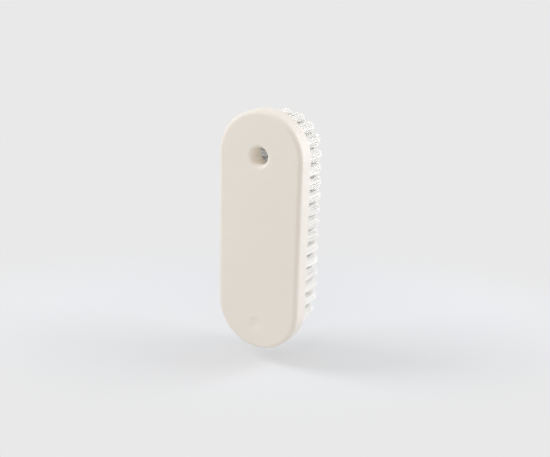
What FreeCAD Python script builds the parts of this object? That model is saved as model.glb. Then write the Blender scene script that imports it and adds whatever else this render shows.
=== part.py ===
import FreeCAD, Part
import math
import os
import Sketcher

# Nail brush: a moulded block with a hanging hole, and folded tufts of filament that short
# pieces of flat wire hold in blind holes.
# Frame in millimetres: X across the block, Y from the back face towards the bristle tips,
# Z up along the block. The origin is on the hanging hole's axis, half-way through the block.

SIZES = [
    ("block_length", 115.0, "end to end"),
    ("block_width", 43.0, "side to side, also the diameter of the round ends"),
    ("block_thickness", 9.5, "back face to bristle face"),
    ("back_edge_radius", 2.2, "rounding of the edge that the palm holds"),
    ("bristle_edge_bevel", 1.0, "bevel of the edge on the bristle face"),
    ("hanging_hole_diameter", 8.0, "bore that goes over a hook or peg"),
    ("hanging_hole_drop", 20.8, "from the upper end down to the bore's axis"),
    ("hanging_rim_radius", 1.9, "rounding of the bore's rim on the back face"),
    ("hanging_rim_bevel", 0.8, "bevel of the bore's rim on the bristle face"),
    ("gate_ball_radius", 23.0, "ball whose cap is the shallow dish where the plastic was injected"),
    ("gate_mark_depth", 0.35, "depth of that dish"),
    ("gate_mark_rise", 12.5, "from the lower end up to its centre"),
    ("tuft_sides", 6, "sides of the section that stands for a round hole, and ridges of the bundle"),
    ("tuft_hole_width", 4.2, "blind hole for a tuft, across its flats"),
    ("tuft_hole_depth", 6.5, "depth of the blind hole"),
    ("tuft_wall", 1.6, "least plastic left between a tuft hole and the bore"),
    ("tuft_free_length", 16.0, "from the bristle face to the trimmed tips"),
    ("tuft_flute_depth", 0.25, "grooves between the ridges of the bundle, at the bristle face"),
    ("tuft_spread", 1.8, "degrees by which the bundle's sides lean outwards"),
    ("anchor_thickness", 0.45, "thickness of the flat wire"),
    ("anchor_width", 1.8, "width of the flat wire, along the hole"),
    ("anchor_rise", 1.4, "filament under the wire, the fold"),
    ("row_count", 12, "rows of tufts across the straight part"),
    ("row_pitch", 6.4, "row to row"),
    ("column_count", 5, "tufts in a full row"),
    ("column_pitch", 7.8, "tuft to tuft in a row"),
    ("outer_fan_count", 7, "tufts round each end"),
    ("inner_fan_count", 3, "tufts inside them"),
    ("hole_fan_radius", 8.3, "inner fan at the upper end, measured round the bore"),
    ("hole_fan_step", 54.0, "degrees between the tufts of that fan"),
]

doc = FreeCAD.newDocument("nail_brush")
sizes = doc.addObject("Spreadsheet::Sheet", "sizes")
for line, (alias, value, meaning) in enumerate(SIZES, start=1):
    sizes.set(f"A{line}", alias)
    sizes.set(f"B{line}", str(value))
    sizes.set(f"C{line}", meaning)
    sizes.setAlias(f"B{line}", alias)
doc.recompute()


def size(alias):
    return float(sizes.get(alias))


def plane(body, role):
    return next(part for part in body.Origin.OriginFeatures if part.Role == role)


def sketch_on(body, role, label, offset=None):
    """A sketch on one of the body's own planes, moved along its normal by the offset's words."""
    sketch = body.newObject("Sketcher::SketchObject", label)
    sketch.AttachmentSupport = [(plane(body, role), "")]
    sketch.MapMode = "FlatFace"
    if offset:
        sketch.setExpression("AttachmentOffset.Base.z", offset)
    return sketch


def bind(sketch, constraint, label, expression):
    """Adds one dimension to a sketch and ties it to the sheet."""
    index = sketch.addConstraint(constraint)
    sketch.renameConstraint(index, label)
    sketch.setExpression(f"Constraints.{label}", expression)


def point(x, y):
    return FreeCAD.Vector(x, y, 0)


def circle_at(x, y, radius):
    return Part.Circle(point(x, y), FreeCAD.Vector(0, 0, 1), radius)


def dress_edges(body, kind, label, edges, dimension):
    """Rounds or bevels these edges of the body as it stands."""
    base = body.Tip
    feature = body.newObject(f"PartDesign::{kind}", label)
    feature.Base = (base, edges)
    target = "Radius" if kind == "Fillet" else "Size"
    feature.setExpression(target, f"sizes.{dimension}")
    doc.recompute()


# Where the tufts stand: rows across the straight part, and two fans round each end.
# A row leaves out the tuft whose place the hanging hole takes.
middle = size("hanging_hole_drop") - size("block_length") / 2
end_reach = (size("block_length") - size("block_width")) / 2
upper_centre = middle + end_reach
lower_centre = middle - end_reach
fan_radius = (size("column_count") - 1) / 2 * size("column_pitch")
bore_radius = size("hanging_hole_diameter") / 2
bore_clearance = bore_radius + size("tuft_hole_width") / 2 + size("tuft_wall")


def row_places(number):
    z = middle + ((size("row_count") - 1) / 2 - number) * size("row_pitch")
    places = []
    for column in range(int(size("column_count"))):
        x = (column - (size("column_count") - 1) / 2) * size("column_pitch")
        if math.hypot(x, z) >= bore_clearance:
            places.append((x, z))
    return places


def fan_places(centre, radius, count, step, direction):
    """Tufts on an arc about (0, centre) that bulges upwards for direction 1, downwards for -1."""
    places = []
    for number in range(int(count)):
        angle = math.radians((number - (count - 1) / 2) * step)
        places.append((radius * math.sin(angle), centre + direction * radius * math.cos(angle)))
    return places


outer_count = size("outer_fan_count")
inner_count = size("inner_fan_count")
outer_step = 180 / (outer_count + 1)
inner_step = 180 / (inner_count + 1)
groups = {}
groups["upper_outer_fan"] = fan_places(upper_centre, fan_radius, outer_count, outer_step, 1)
groups["upper_inner_fan"] = fan_places(
    0, size("hole_fan_radius"), inner_count, size("hole_fan_step"), 1
)
for number in range(int(size("row_count"))):
    groups[f"row_{number + 1:02d}"] = row_places(number)
groups["lower_inner_fan"] = fan_places(lower_centre, fan_radius / 2, inner_count, inner_step, -1)
groups["lower_outer_fan"] = fan_places(lower_centre, fan_radius, outer_count, outer_step, -1)

# The block as it comes out of the mould: a stadium slab with the hanging hole, a rounded back
# edge, a bevelled bristle edge and the mark of the injection gate.
moulding = doc.addObject("PartDesign::Body", "moulding")
end_radius = size("block_width") / 2

outline = sketch_on(moulding, "XZ_Plane", "block_outline")
upper_arc, lower_arc, right_side, left_side = outline.addGeometry(
    [
        Part.ArcOfCircle(circle_at(0, upper_centre, end_radius), 0, math.pi),
        Part.ArcOfCircle(circle_at(0, lower_centre, end_radius), math.pi, 2 * math.pi),
        Part.LineSegment(point(end_radius, upper_centre), point(end_radius, lower_centre)),
        Part.LineSegment(point(-end_radius, lower_centre), point(-end_radius, upper_centre)),
    ],
    False,
)
outline.addConstraint(
    [
        Sketcher.Constraint("Tangent", upper_arc, 1, right_side, 1),
        Sketcher.Constraint("Tangent", right_side, 2, lower_arc, 2),
        Sketcher.Constraint("Tangent", lower_arc, 1, left_side, 1),
        Sketcher.Constraint("Tangent", left_side, 2, upper_arc, 2),
        Sketcher.Constraint("PointOnObject", upper_arc, 3, -2),
        Sketcher.Constraint("PointOnObject", lower_arc, 3, -2),
        Sketcher.Constraint("Equal", upper_arc, lower_arc),
    ]
)
bind(
    outline,
    Sketcher.Constraint("Radius", upper_arc, end_radius),
    "end_radius",
    "sizes.block_width / 2",
)
bind(
    outline,
    Sketcher.Constraint("DistanceY", lower_arc, 3, upper_arc, 3, 2 * end_reach),
    "straight_length",
    "sizes.block_length - sizes.block_width",
)
bind(
    outline,
    Sketcher.Constraint("DistanceY", lower_arc, 3, -1, 1, -lower_centre),
    "lower_end_drop",
    "sizes.block_length - sizes.hanging_hole_drop - sizes.block_width / 2",
)
slab = moulding.newObject("PartDesign::Pad", "block_slab")
slab.Profile = outline
slab.SideType = "Symmetric"
slab.setExpression("Length", "sizes.block_thickness")

bore_sketch = sketch_on(moulding, "XZ_Plane", "hanging_hole_circle")
bore_circle = bore_sketch.addGeometry(circle_at(0, 0, bore_radius), False)
bore_sketch.addConstraint(Sketcher.Constraint("Coincident", bore_circle, 3, -1, 1))
bind(
    bore_sketch,
    Sketcher.Constraint("Radius", bore_circle, bore_radius),
    "bore_radius",
    "sizes.hanging_hole_diameter / 2",
)
bore = moulding.newObject("PartDesign::Pocket", "hanging_hole")
bore.Profile = bore_sketch
bore.SideType = "Symmetric"
bore.Type = "ThroughAll"
doc.recompute()


def face_edges(height, around_bore):
    """Edges in the plane Y = height: the bore's rim, or else the block's own outline."""
    found = []
    for number, edge in enumerate(moulding.Tip.Shape.Edges, start=1):
        box = edge.BoundBox
        level = max(abs(box.YMin - height), abs(box.YMax - height)) < 0.001
        rim = max(abs(box.XMin), box.XMax, abs(box.ZMin), abs(box.ZMax)) < bore_radius + 0.1
        if level and rim == around_bore:
            found.append(f"Edge{number}")
    return found


back = -size("block_thickness") / 2
front = size("block_thickness") / 2
dress_edges(moulding, "Fillet", "back_edge", face_edges(back, False), "back_edge_radius")
dress_edges(moulding, "Fillet", "back_rim", face_edges(back, True), "hanging_rim_radius")
dress_edges(moulding, "Chamfer", "bristle_edge", face_edges(front, False), "bristle_edge_bevel")
dress_edges(moulding, "Chamfer", "bristle_rim", face_edges(front, True), "hanging_rim_bevel")

mark = moulding.newObject("PartDesign::SubtractiveSphere", "gate_mark")
mark.setExpression("Radius", "sizes.gate_ball_radius")
mark.setExpression(
    "Placement.Base.y",
    "sizes.gate_mark_depth - sizes.gate_ball_radius - sizes.block_thickness / 2",
)
mark.setExpression(
    "Placement.Base.z",
    "sizes.hanging_hole_drop - sizes.block_length + sizes.gate_mark_rise",
)
doc.recompute()

# One tuft: a bundle of filaments folded under its anchor and squeezed to the hole's size, which
# spreads a little above the bristle face and is trimmed flat. Ridges along its free length stand
# for the strands.
# The tuft and the anchor are drawn with the hole's axis along Z and the bristle face at Z = 0.
tuft = doc.addObject("PartDesign::Body", "tuft")
sides = int(size("tuft_sides"))


def bundle_sketch(label, rings):
    """A closed chain of equal sides whose corners lie on these rings in turn, the first facing X."""
    sketch = sketch_on(tuft, "XY_Plane", label)
    count = sides * len(rings)
    corners = []
    for number in range(count):
        radius = rings[number % len(rings)][1]
        angle = 2 * math.pi * number / count
        corners.append(point(radius * math.cos(angle), radius * math.sin(angle)))
    lines = []
    for number in range(count):
        side = Part.LineSegment(corners[number], corners[(number + 1) % count])
        lines.append(sketch.addGeometry(side, False))
    circles = [sketch.addGeometry(circle_at(0, 0, radius), True) for _, radius, _ in rings]
    rules = [Sketcher.Constraint("Coincident", circle, 3, -1, 1) for circle in circles]
    rules.append(Sketcher.Constraint("PointOnObject", lines[0], 1, -1))
    for number in range(count):
        following = lines[(number + 1) % count]
        rules.append(Sketcher.Constraint("Coincident", lines[number], 2, following, 1))
        rules.append(Sketcher.Constraint("PointOnObject", lines[number], 1, circles[number % len(rings)]))
    for line in lines[1:]:
        rules.append(Sketcher.Constraint("Equal", lines[0], line))
    sketch.addConstraint(rules)
    for circle, (name, radius, expression) in zip(circles, rings):
        bind(sketch, Sketcher.Constraint("Radius", circle, radius), name, expression)
    return sketch


corner_ring = (
    "corner_radius",
    size("tuft_hole_width") / 2 / math.cos(math.pi / sides),
    "sizes.tuft_hole_width / 2 / cos(180 deg / sizes.tuft_sides)",
)
groove_ring = (
    "groove_radius",
    size("tuft_hole_width") / 2 - size("tuft_flute_depth"),
    "sizes.tuft_hole_width / 2 - sizes.tuft_flute_depth",
)
root = tuft.newObject("PartDesign::Pad", "squeezed_root")
root.Profile = bundle_sketch("root_section", [corner_ring])
root.Reversed = True
root.setExpression("Length", "sizes.tuft_hole_depth")
brush_end = tuft.newObject("PartDesign::Pad", "free_length")
brush_end.Profile = bundle_sketch("free_section", [corner_ring, groove_ring])
brush_end.Refine = False
brush_end.setExpression("Length", "sizes.tuft_free_length")
doc.recompute()

free_sides = []
for number, face in enumerate(brush_end.Shape.Faces, start=1):
    if abs(face.normalAt(0, 0).z) < 0.1 and face.CenterOfMass.z > 0:
        free_sides.append(f"Face{number}")
spread = tuft.newObject("PartDesign::Draft", "spread")
spread.Base = (brush_end, free_sides)
spread.NeutralPlane = (plane(tuft, "XY_Plane"), [""])
spread.Reversed = True
spread.setExpression("Angle", "sizes.tuft_spread")
doc.recompute()

# The tuft's two legs close above the flat wire, which lies in the fold.
wire_sketch = sketch_on(tuft, "XZ_Plane", "wire_section")
half_wire = size("anchor_thickness") / 2
wire_bottom = size("anchor_rise") - size("tuft_hole_depth")
wire_top = wire_bottom + size("anchor_width")
wire_corners = [
    point(-half_wire, wire_bottom),
    point(half_wire, wire_bottom),
    point(half_wire, wire_top),
    point(-half_wire, wire_top),
]
wire_lines = []
for number in range(4):
    side = Part.LineSegment(wire_corners[number], wire_corners[(number + 1) % 4])
    wire_lines.append(wire_sketch.addGeometry(side, False))
wire_rules = [
    Sketcher.Constraint("Vertical", wire_lines[1]),
    Sketcher.Constraint("Horizontal", wire_lines[2]),
    Sketcher.Constraint("Vertical", wire_lines[3]),
    Sketcher.Constraint("Symmetric", wire_lines[0], 1, wire_lines[0], 2, -2),
]
for number in range(4):
    following = wire_lines[(number + 1) % 4]
    wire_rules.append(Sketcher.Constraint("Coincident", wire_lines[number], 2, following, 1))
wire_sketch.addConstraint(wire_rules)
bind(
    wire_sketch,
    Sketcher.Constraint("DistanceX", wire_lines[0], 1, wire_lines[0], 2, 2 * half_wire),
    "wire_thickness",
    "sizes.anchor_thickness",
)
bind(
    wire_sketch,
    Sketcher.Constraint("DistanceY", wire_lines[1], 1, wire_lines[1], 2, wire_top - wire_bottom),
    "wire_width",
    "sizes.anchor_width",
)
bind(
    wire_sketch,
    Sketcher.Constraint("DistanceY", wire_lines[0], 1, -1, 1, -wire_bottom),
    "wire_depth",
    "sizes.tuft_hole_depth - sizes.anchor_rise",
)
wire_room = tuft.newObject("PartDesign::Pocket", "wire_room")
wire_room.Profile = wire_sketch
wire_room.SideType = "Symmetric"
wire_room.Type = "ThroughAll"

# One anchor: a short piece of flat wire, its ends against the hole's wall.
anchor = doc.addObject("Part::Box", "anchor")
anchor.setExpression("Length", "sizes.anchor_thickness")
anchor.setExpression("Width", "sizes.tuft_hole_width")
anchor.setExpression("Height", "sizes.anchor_width")
anchor.setExpression("Placement.Base.x", "-sizes.anchor_thickness / 2")
anchor.setExpression("Placement.Base.y", "-sizes.tuft_hole_width / 2")
anchor.setExpression("Placement.Base.z", "sizes.anchor_rise - sizes.tuft_hole_depth")

# One drilled hole, as the solid that the drill takes out.
drill = doc.addObject("Part::Prism", "drill")
drill.setExpression("Polygon", "sizes.tuft_sides")
drill.setExpression("Circumradius", "sizes.tuft_hole_width / 2 / cos(180 deg / sizes.tuft_sides)")
drill.setExpression("Height", "2 * sizes.tuft_hole_depth")
drill.setExpression("Placement.Base.z", "-sizes.tuft_hole_depth")
doc.recompute()


def copies_in_holes(source, label, places):
    """A group of separate solids: the source piece set at each of these places."""
    into_block = FreeCAD.Rotation(FreeCAD.Vector(1, 0, 0), -90)
    copies = []
    for number, (x, z) in enumerate(places, start=1):
        copy = doc.addObject("App::Link", f"{label}_{number}")
        copy.LinkedObject = source
        move = FreeCAD.Placement(FreeCAD.Vector(x, front, z), into_block)
        copy.Placement = move.multiply(source.Placement)
        copies.append(copy)
    group = doc.addObject("Part::Compound", label)
    group.Label = label
    group.Links = copies
    return group


all_places = [place for places in groups.values() for place in places]
block = doc.addObject("Part::Cut", "block")
block.Label = "block"
block.Base = moulding
block.Tool = copies_in_holes(drill, "tuft_holes", all_places)
nodes = [block]
for name, places in groups.items():
    nodes.append(copies_in_holes(tuft, f"tuft_{name}", places))
    nodes.append(copies_in_holes(anchor, f"anchor_{name}", places))
doc.recompute()

for thing in doc.Objects:
    if "Invalid" in thing.State or "Error" in thing.State:
        raise RuntimeError(f"{thing.Label} did not build: {thing.State}")

os.makedirs("parts", exist_ok=True)
for node in nodes:
    if node.Shape.isNull() or not node.Shape.isValid():
        raise RuntimeError(f"{node.Label} has no valid shape")
    node.Shape.exportStep(f"parts/{node.Label}.step")
    print(node.Label, len(node.Shape.Solids), "solids", round(node.Shape.Volume, 2), "mm3")
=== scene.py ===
import math
import random
import bmesh
import bpy
from mathutils import Matrix, Vector


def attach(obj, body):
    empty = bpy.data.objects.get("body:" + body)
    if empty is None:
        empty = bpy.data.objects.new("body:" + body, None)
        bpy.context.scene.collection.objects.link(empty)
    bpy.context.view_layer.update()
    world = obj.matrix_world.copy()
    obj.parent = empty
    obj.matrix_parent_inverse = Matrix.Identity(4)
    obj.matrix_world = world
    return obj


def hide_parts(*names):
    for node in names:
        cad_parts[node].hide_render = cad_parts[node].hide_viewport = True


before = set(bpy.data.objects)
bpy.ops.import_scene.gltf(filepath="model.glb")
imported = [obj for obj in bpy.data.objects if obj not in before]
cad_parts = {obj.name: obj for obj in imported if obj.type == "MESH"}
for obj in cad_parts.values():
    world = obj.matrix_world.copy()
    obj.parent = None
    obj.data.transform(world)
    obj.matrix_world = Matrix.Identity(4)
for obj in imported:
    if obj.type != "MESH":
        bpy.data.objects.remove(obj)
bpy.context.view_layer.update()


# Block. One injection moulding of white polypropylene, 115 x 43 x 9.5 mm, with round ends and
# a soft edge round the back, where the hand holds it. A hanging hole goes through its upper
# end, and the tuft holes are drilled into its other face once the moulding is cold.
mm = 0.001
block_back, block_front = -4.75 * mm, 4.75 * mm
block_middle = -36.7 * mm
end_radius, end_offset, outline_sides = 21.5 * mm, 36 * mm, 128
back_edge_round, front_edge_round = 2.2 * mm, 1.0 * mm
bore_radius, bore_back_round, bore_front_round = 4 * mm, 1.9 * mm, 0.8 * mm
core_pin_length = 30 * mm
gate_middle, gate_ball, gate_depth = -81.7 * mm, 23 * mm, 0.35 * mm
hole_radius, hole_floor, drill_length = 2.2 * mm, -1.75 * mm, 20 * mm
row_count, row_pitch, column_pitch = 12, 6.4 * mm, 7.8 * mm

# Where the tufts stand, as (x, z), in the rows and fans that the drilling head sets them in. The
# first row has no middle tuft, because the hanging hole is there.
tuft_places = {}
for row in range(row_count):
    z = block_middle + ((row_count - 1) / 2 - row) * row_pitch
    tuft_places[f"row_{row + 1:02d}"] = [
        (column * column_pitch, z) for column in range(-2, 3) if row or column
    ]
# A fan has its name, its number of tufts, the degrees from one to the next, its radius and the
# level of its middle in mm, and 1 where it opens upwards or -1 where it opens downwards.
for fan, count, step, radius, middle, way in (
    ("upper_outer_fan", 7, 22.5, 15.6, -0.7, 1),
    ("upper_inner_fan", 3, 54, 8.3, 0, 1),
    ("lower_inner_fan", 3, 45, 7.8, -72.7, -1),
    ("lower_outer_fan", 7, 22.5, 15.6, -72.7, -1),
):
    turns = [math.radians((i - (count - 1) / 2) * step) for i in range(count)]
    tuft_places[fan] = [
        (radius * math.sin(turn) * mm, (middle + way * radius * math.cos(turn)) * mm)
        for turn in turns
    ]


def take(*pieces):
    """Selects these pieces alone and makes the first of them the active one."""
    bpy.ops.object.select_all(action="DESELECT")
    for piece in pieces:
        piece.select_set(True)
    bpy.context.view_layer.objects.active = pieces[0]


def added(name):
    """Names the primitive that was just added, and puts its place and turn into its mesh."""
    piece = bpy.context.object
    piece.name = piece.data.name = name
    take(piece)
    bpy.ops.object.transform_apply(location=True, rotation=True, scale=True)
    return piece


def choose(kind, test):
    """In edit mode, selects the vertices, edges or faces whose corners all pass the test."""
    bpy.ops.mesh.select_mode(type=kind)
    bpy.ops.mesh.select_all(action="DESELECT")
    mesh = bmesh.from_edit_mesh(bpy.context.object.data)
    for item in {"VERT": mesh.verts, "EDGE": mesh.edges, "FACE": mesh.faces}[kind]:
        corners = [item] if kind == "VERT" else item.verts
        item.select_set(all(test(corner.co) for corner in corners))
    bmesh.update_edit_mesh(bpy.context.object.data)


def near(value, target):
    """Whether a length is the one looked for, to two hundredths of a millimetre."""
    return abs(value - target) < 0.02 * mm


def cut_out(piece, cutter):
    """Cuts the cutter's shape out of the piece, as a core pin or a drill leaves it."""
    take(piece)
    cut = piece.modifiers.new("cut", "BOOLEAN")
    cut.object, cut.operation, cut.solver = cutter, "DIFFERENCE", "EXACT"
    bpy.ops.object.modifier_apply(modifier=cut.name)
    bpy.data.objects.remove(cutter)


# The outline starts as a circle of short sides that touch the end's circle from outside. It is
# turned by half a side, so that one side lies along each long edge, and its halves are then moved
# apart to the length of the brush. The solids come in selected, so they are let go first.
half_side = math.pi / outline_sides
bpy.ops.object.select_all(action="DESELECT")
bpy.ops.mesh.primitive_circle_add(
    vertices=outline_sides, radius=end_radius / math.cos(half_side), fill_type="NGON",
    location=(0, block_back, block_middle), rotation=(math.pi / 2, half_side, 0),
)
block = added("moulded_block")
bpy.ops.object.mode_set(mode="EDIT")
for way in (1, -1):
    choose("VERT", lambda co: (co.z - block_middle) * way > 0)
    bpy.ops.transform.translate(value=(0, 0, way * end_offset))
bpy.ops.mesh.select_all(action="SELECT")
bpy.ops.mesh.extrude_region_move(
    TRANSFORM_OT_translate={"value": (0, block_front - block_back, 0)},
)
bpy.ops.mesh.select_all(action="SELECT")
bpy.ops.mesh.normals_make_consistent(inside=False)
for face_y, rounding, segments in (
    (block_back, back_edge_round, 8), (block_front, front_edge_round, 4),
):
    choose("EDGE", lambda co: near(co.y, face_y))
    bpy.ops.mesh.bevel(offset=rounding, segments=segments, affect="EDGES")
bpy.ops.object.mode_set(mode="OBJECT")

# The hanging hole, on the frame's Y axis, with both its rims rounded.
bpy.ops.mesh.primitive_cylinder_add(
    vertices=64, radius=bore_radius, depth=core_pin_length, rotation=(math.pi / 2, 0, 0),
)
cut_out(block, added("bore_pin"))
take(block)
bpy.ops.object.mode_set(mode="EDIT")
for face_y, rounding, segments in (
    (block_back, bore_back_round, 8), (block_front, bore_front_round, 4),
):
    choose("EDGE", lambda co: near(co.y, face_y) and near(math.hypot(co.x, co.z), bore_radius))
    bpy.ops.mesh.bevel(offset=rounding, segments=segments, affect="EDGES")
bpy.ops.object.mode_set(mode="OBJECT")

# The shallow dish that the injection gate leaves in the back, near the lower end.
bpy.ops.mesh.primitive_uv_sphere_add(
    segments=48, ring_count=128, radius=gate_ball,
    location=(0, block_back + gate_depth - gate_ball, gate_middle), rotation=(math.pi / 2, 0, 0),
)
cut_out(block, added("gate_cutter"))

# The tuft holes, drilled in one go.
drills = []
for x, z in [place for places in tuft_places.values() for place in places]:
    bpy.ops.mesh.primitive_cylinder_add(
        vertices=16, radius=hole_radius, depth=drill_length,
        location=(x, hole_floor + drill_length / 2, z), rotation=(math.pi / 2, 0, 0),
    )
    drills.append(added("drill"))
take(*drills)
bpy.ops.object.join()
cut_out(block, drills[0])

take(block)
bpy.ops.object.shade_smooth_by_angle(angle=math.radians(35))
even = block.modifiers.new("even_shading", "WEIGHTED_NORMAL")
even.keep_sharp = True
bpy.ops.object.modifier_apply(modifier=even.name)


def colour(code):
    """A colour written as sRGB hex, in the linear values that the shader works in."""
    parts = [int(code[i:i + 2], 16) / 255 for i in (1, 3, 5)]
    return tuple(p / 12.92 if p <= 0.04045 else ((p + 0.055) / 1.055) ** 2.4 for p in parts) + (1,)


def node(tree, kind, inputs=None, **settings):
    """Adds a node, gives it its settings, and sets or links inputs by their name or number."""
    made = tree.nodes.new(kind)
    for name, value in settings.items():
        setattr(made, name, value)
    for name, value in (inputs or {}).items():
        if isinstance(value, bpy.types.NodeSocket):
            tree.links.new(value, made.inputs[name])
        else:
            made.inputs[name].default_value = value
    return made


def new_material(name):
    """An empty material with nodes, ready for its shader."""
    material = bpy.data.materials.new(name)
    material.use_nodes = True
    material.node_tree.nodes.clear()
    return material, material.node_tree


# The numbers of a Mix node's two colour inputs and of its colour output.
one_colour, other_colour, mixed_colour = 6, 7, 2

# Injection-moulded polypropylene, warm white. The mould's fine spark-eroded texture leaves it
# nearly matt, and the pigment is a little cloudy. The texture's grain is about 0.1 mm, too fine
# to show here, so it is drawn at 0.7 mm and kept faint.
polypropylene, tree = new_material("moulded_polypropylene")
place = node(tree, "ShaderNodeTexCoord").outputs["Object"]
cloud = node(tree, "ShaderNodeTexNoise", {"Vector": place, "Scale": 1 / (24 * mm), "Detail": 3.0})
tint = node(tree, "ShaderNodeMix", {
    "Factor": cloud.outputs["Fac"], one_colour: colour("#EAE2D6"), other_colour: colour("#EDE5DA"),
}, data_type="RGBA")
grain = node(tree, "ShaderNodeTexNoise", {"Vector": place, "Scale": 1 / (0.7 * mm), "Detail": 2.0})
gloss = node(tree, "ShaderNodeMapRange", {
    "Value": cloud.outputs["Fac"], "To Min": 0.55, "To Max": 0.62,
})
dents = node(tree, "ShaderNodeBump", {
    "Height": grain.outputs["Fac"], "Strength": 0.25, "Distance": 0.02 * mm,
})
surface = node(tree, "ShaderNodeBsdfPrincipled", {
    "Base Color": tint.outputs[mixed_colour], "Roughness": gloss.outputs["Result"],
    "Normal": dents.outputs["Normal"], "IOR": 1.49, "Subsurface Weight": 0.1,
    "Subsurface Radius": (1.0, 0.87, 0.70), "Subsurface Scale": 2.0 * mm,
})
node(tree, "ShaderNodeOutputMaterial", {"Surface": surface.outputs["BSDF"]})
block.data.materials.append(polypropylene)

# The same plastic in the hanging hole, left dull by the core pin. Its paler colour is painted
# light: it stands for the light that comes through the block there.
bore_wall, tree = new_material("bore_polypropylene_painted_light")
place = node(tree, "ShaderNodeTexCoord").outputs["Object"]
cloud = node(tree, "ShaderNodeTexNoise", {"Vector": place, "Scale": 1 / (6 * mm), "Detail": 2.0})
# Painted light: these paler tones stand for light coming through the plastic, not a paler plastic.
tint = node(tree, "ShaderNodeMix", {
    "Factor": cloud.outputs["Fac"], one_colour: colour("#FBF3E6"), other_colour: colour("#FDF7EC"),
}, data_type="RGBA")
gloss = node(tree, "ShaderNodeMapRange", {
    "Value": cloud.outputs["Fac"], "To Min": 0.66, "To Max": 0.74,
})
surface = node(tree, "ShaderNodeBsdfPrincipled", {
    "Base Color": tint.outputs[mixed_colour], "Roughness": gloss.outputs["Result"],
    "IOR": 1.49, "Specular IOR Level": 0.1,
})
node(tree, "ShaderNodeOutputMaterial", {"Surface": surface.outputs["BSDF"]})
block.data.materials.append(bore_wall)
take(block)
bpy.ops.object.mode_set(mode="EDIT")
choose("FACE", lambda co: math.hypot(co.x, co.z) < bore_radius + 0.05 * mm)
block.active_material_index = 1
bpy.ops.object.material_slot_assign()
bpy.ops.object.mode_set(mode="OBJECT")
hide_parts("block")
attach(block, "root")


# Anchors. Short lengths of flat stainless wire, one across each hole, driven in with the tuft
# folded under it so that the wire bites into the plastic. They stay as the solids give them.

# Rolled stainless steel: dull and grey, with faint streaks along the wire, which lies along Z.
# The streaks are a few hundredths of a millimetre wide, and are drawn at 0.15 mm.
flat_wire, tree = new_material("rolled_stainless_wire")
place = node(tree, "ShaderNodeTexCoord").outputs["Object"]
along = node(tree, "ShaderNodeMapping", {"Vector": place, "Scale": (1, 1, 0.08)})
streak = node(tree, "ShaderNodeTexNoise", {
    "Vector": along.outputs["Vector"], "Scale": 1 / (0.15 * mm),
})
tint = node(tree, "ShaderNodeMix", {
    "Factor": streak.outputs["Fac"], one_colour: colour("#A9A8A5"), other_colour: colour("#C6C5C2"),
}, data_type="RGBA")
gloss = node(tree, "ShaderNodeMapRange", {
    "Value": streak.outputs["Fac"], "To Min": 0.28, "To Max": 0.45,
})
surface = node(tree, "ShaderNodeBsdfPrincipled", {
    "Base Color": tint.outputs[mixed_colour], "Roughness": gloss.outputs["Result"], "Metallic": 1.0,
})
node(tree, "ShaderNodeOutputMaterial", {"Surface": surface.outputs["BSDF"]})
for name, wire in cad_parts.items():
    if name.startswith("anchor_"):
        wire.data.materials.clear()
        wire.data.materials.append(flat_wire)


# Tufts. Bundles of straight white polyester filament, each folded in half round its anchor wire
# and driven into its hole, so that both halves of every strand stand up out of the block. The
# bundle opens a little above the mouth of the hole, and the tips are trimmed to one level.
strand_radius, legs_per_tuft, golden_turn = 0.18 * mm, 150, math.radians(137.508)
mouth_radius, bow_radius, tip_radius = 2.02 * mm, 2.85 * mm, 3.2 * mm
bow_level, tip_level, trim_spread = 7 * mm, 20.7 * mm, 0.2 * mm
wire_floor, wire_side, fold_depth = -0.35 * mm, 1 * mm, 1 * mm
lean_spread, lean_at_bow = 0.11 * mm, 0.2


def tuft_model(seed):
    """One tuft at the origin: strands that go down beside the wire, under it and up again."""
    chance = random.Random(seed)
    curve = bpy.data.curves.new("tuft_model", "CURVE")
    curve.dimensions, curve.resolution_u = "3D", 1
    curve.bevel_depth, curve.bevel_resolution, curve.use_fill_caps = strand_radius, 1, True
    for i in range(legs_per_tuft):
        across, turn = math.sqrt((i + 0.5) / legs_per_tuft), i * golden_turn + seed
        x, z = across * math.cos(turn), across * math.sin(turn)
        # Beyond the wire stand the other legs of the strands that are drawn from this side.
        if x < 0:
            continue
        fold = wire_floor - strand_radius - across * fold_depth
        points = []
        for side in (1, -1):
            lean_x, lean_z = [chance.gauss(0, lean_spread) for _ in range(2)]
            tip = tip_level - chance.uniform(0, trim_spread)
            # Down in the hole the legs are squeezed, and they keep clear of the wire.
            beside_wire = side * (x * 0.8 + 0.2) * mouth_radius
            leg = [
                (side * x * tip_radius + lean_x, tip, z * tip_radius + lean_z),
                (side * x * bow_radius + lean_x * lean_at_bow, bow_level,
                 z * bow_radius + lean_z * lean_at_bow),
                (side * (x * 0.95 + 0.05) * mouth_radius, block_front, z * mouth_radius),
                (beside_wire * 0.95, wire_side, z * mouth_radius * 0.95),
                (beside_wire * 0.9, fold, z * mouth_radius * 0.9),
            ]
            points += leg if side > 0 else leg[::-1]
        strand = curve.splines.new("NURBS")
        strand.points.add(len(points) - 1)
        for spot, co in zip(strand.points, points):
            spot.co = (*co, 1)
        strand.order_u, strand.use_endpoint_u = 3, True
    tuft = bpy.data.objects.new("tuft_model", curve)
    bpy.context.collection.objects.link(tuft)
    take(tuft)
    bpy.ops.object.convert(target="MESH")
    bpy.ops.object.shade_smooth_by_angle(angle=math.radians(75))
    return bpy.context.object


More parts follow.
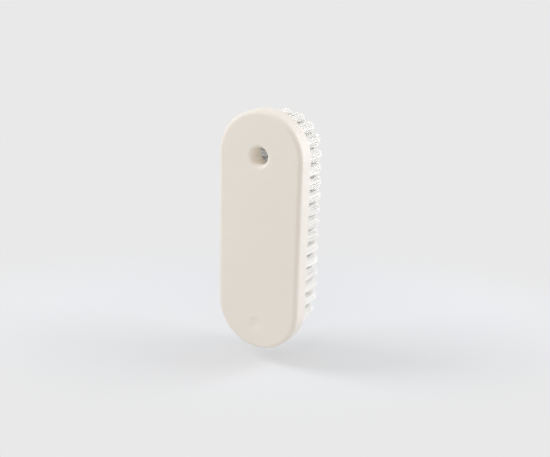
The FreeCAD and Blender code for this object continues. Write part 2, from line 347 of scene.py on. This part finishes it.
# Drawn polyester filament, off-white, with a soft shine along each strand. Strands differ a
# little in tone: it changes across the tuft, every two strands or so, and hardly along it.
filament, tree = new_material("drawn_polyester_filament")
place = node(tree, "ShaderNodeTexCoord").outputs["Object"]
along = node(tree, "ShaderNodeMapping", {"Vector": place, "Scale": (1, 0.04, 1)})
tone = node(tree, "ShaderNodeTexNoise", {
    "Vector": along.outputs["Vector"], "Scale": 1 / (0.8 * mm), "Detail": 1.0,
})
tint = node(tree, "ShaderNodeMix", {
    "Factor": tone.outputs["Fac"], one_colour: colour("#F8F4EC"), other_colour: colour("#FEFBF5"),
}, data_type="RGBA")
gloss = node(tree, "ShaderNodeMapRange", {
    "Value": tone.outputs["Fac"], "To Min": 0.30, "To Max": 0.42,
})
surface = node(tree, "ShaderNodeBsdfPrincipled", {
    "Base Color": tint.outputs[mixed_colour], "Roughness": gloss.outputs["Result"], "IOR": 1.55,
})
node(tree, "ShaderNodeOutputMaterial", {"Surface": surface.outputs["BSDF"]})

# Six models, each set either way round, so that no two neighbours need look alike.
models = [tuft_model(seed) for seed in range(6)]
pick = random.Random(41)
for row, places in tuft_places.items():
    tufts = []
    for x, z in places:
        tuft = pick.choice(models).copy()
        tuft.data = tuft.data.copy()
        way_round = Matrix.Rotation(pick.choice((0, math.pi)), 4, "Y")
        tuft.data.transform(Matrix.Translation((x, 0, z)) @ way_round)
        bpy.context.collection.objects.link(tuft)
        tufts.append(tuft)
    take(*tufts)
    bpy.ops.object.join()
    tufts[0].name = tufts[0].data.name = f"filaments_{row}"
    tufts[0].data.materials.append(filament)
    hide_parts(f"tuft_{row}")
    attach(tufts[0], "root")
for model in models:
    bpy.data.objects.remove(model)


# Floor and backdrop. A sheet of pale grey studio paper under the brush, which takes its light
# and shadow near the brush and runs out into an even pale grey behind it.
floor_size, floor_level = 6, -102 * mm
backdrop_grey = colour("#E9E9E9")
bpy.ops.mesh.primitive_plane_add(size=floor_size, location=(0, 0, floor_level))
floor = added("studio_floor")

# The lit paper is an oval whose middle lies 50 mm behind the brush. It is longer across the view,
# where lengths count for 0.55 of what they do away from the viewer, and it fades from 60 to 120 mm.
across_view, away_from_view = (0.48, 0.27, 0), (-0.497, 0.868, 0)
oval_middle, oval_start, oval_end = 50 * mm, 60 * mm, 120 * mm
grey_in_oval = 0.3
paper, tree = new_material("studio_paper")
place = node(tree, "ShaderNodeTexCoord").outputs["Object"]
across = node(tree, "ShaderNodeVectorMath", {0: place, 1: across_view}, operation="DOT_PRODUCT")
away = node(tree, "ShaderNodeVectorMath", {0: place, 1: away_from_view}, operation="DOT_PRODUCT")
away = node(tree, "ShaderNodeMath", {
    0: away.outputs["Value"], 1: oval_middle,
}, operation="SUBTRACT")
far = node(tree, "ShaderNodeCombineXYZ", {"X": across.outputs["Value"], "Y": away.outputs[0]})
far = node(tree, "ShaderNodeVectorMath", {0: far.outputs["Vector"]}, operation="LENGTH")
fade = node(tree, "ShaderNodeMapRange", {
    "Value": far.outputs["Value"], "From Min": oval_start, "From Max": oval_end,
    "To Min": grey_in_oval,
}, interpolation_type="SMOOTHSTEP")

# Only the camera and reflections see the even grey. The brush is lit by the plain paper.
ray = node(tree, "ShaderNodeLightPath")
seen = node(tree, "ShaderNodeMath", {
    0: ray.outputs["Is Camera Ray"], 1: ray.outputs["Is Glossy Ray"],
}, operation="MAXIMUM")
seen = node(tree, "ShaderNodeMath", {
    0: seen.outputs[0], 1: ray.outputs["Is Transmission Ray"],
}, operation="MAXIMUM")
share = node(tree, "ShaderNodeMath", {
    0: seen.outputs[0], 1: fade.outputs["Result"],
}, operation="MULTIPLY")
lit = node(tree, "ShaderNodeBsdfDiffuse", {"Color": colour("#DFDFDF")})
even_grey = node(tree, "ShaderNodeEmission", {"Color": backdrop_grey, "Strength": 1.0})
both = node(tree, "ShaderNodeMixShader", {
    "Fac": share.outputs[0], 1: lit.outputs[0], 2: even_grey.outputs[0],
})
node(tree, "ShaderNodeOutputMaterial", {"Surface": both.outputs[0]})
floor.data.materials.append(paper)


# Light. An even pale room, and soft boxes that stand to the right and the left of the camera's
# view, so that the face turned to the camera gets the least. A weaker one stands in front, and
# one behind on the right lights the tufts from their tips.
brush_middle = Vector((0, 8 * mm, block_middle))
for name, place, size, watts, tint in (
    ("right_soft_box", (0.392, 0.239, 0.36), 0.28, 1.16, "#F3F7FF"),
    ("left_soft_box", (-0.42, -0.20, 0.33), 0.28, 1.8, "#F3F7FF"),
    ("front_soft_box", (0.30, -0.60, 0.22), 0.60, 0.68, "#FFF5E8"),
    ("back_soft_box", (0.30, 0.52, 0.04), 0.26, 1.48, "#E8F0FF"),
):
    lamp = bpy.data.lights.new(name, "AREA")
    lamp.shape, lamp.size, lamp.energy, lamp.color = "SQUARE", size, watts, colour(tint)[:3]
    lamp_object = bpy.data.objects.new(name, lamp)
    lamp_object.location = place
    lamp_object.rotation_euler = (brush_middle - Vector(place)).to_track_quat("-Z", "Y").to_euler()
    bpy.context.collection.objects.link(lamp_object)

# The room lights the brush a little more weakly than the backdrop looks.
world = bpy.data.worlds.new("studio")
world.use_nodes = True
world.node_tree.nodes.clear()
tree = world.node_tree
ray = node(tree, "ShaderNodeLightPath")
seen = node(tree, "ShaderNodeMath", {
    0: ray.outputs["Is Camera Ray"], 1: ray.outputs["Is Glossy Ray"],
}, operation="MAXIMUM")
seen = node(tree, "ShaderNodeMath", {
    0: seen.outputs[0], 1: ray.outputs["Is Transmission Ray"],
}, operation="MAXIMUM")
room = node(tree, "ShaderNodeBackground", {"Color": backdrop_grey, "Strength": 0.7})
behind = node(tree, "ShaderNodeBackground", {"Color": backdrop_grey, "Strength": 1.0})
both = node(tree, "ShaderNodeMixShader", {
    "Fac": seen.outputs[0], 1: room.outputs[0], 2: behind.outputs[0],
})
node(tree, "ShaderNodeOutputWorld", {"Surface": both.outputs[0]})
bpy.context.scene.world = world
bpy.context.scene.view_settings.view_transform = "Standard"


# Camera. It stands to the right of the back face and a little above the brush's upper end.
camera = bpy.data.cameras.new("camera")
camera.sensor_width, camera.lens = 36, 52.364
camera_object = bpy.data.objects.new("camera", camera)
camera_object.location = (0.17725, -0.30177, 0.08447)
camera_object.rotation_euler = [math.radians(a) for a in (71.181, -1.417, 29.98)]
bpy.context.collection.objects.link(camera_object)
bpy.context.scene.camera = camera_object
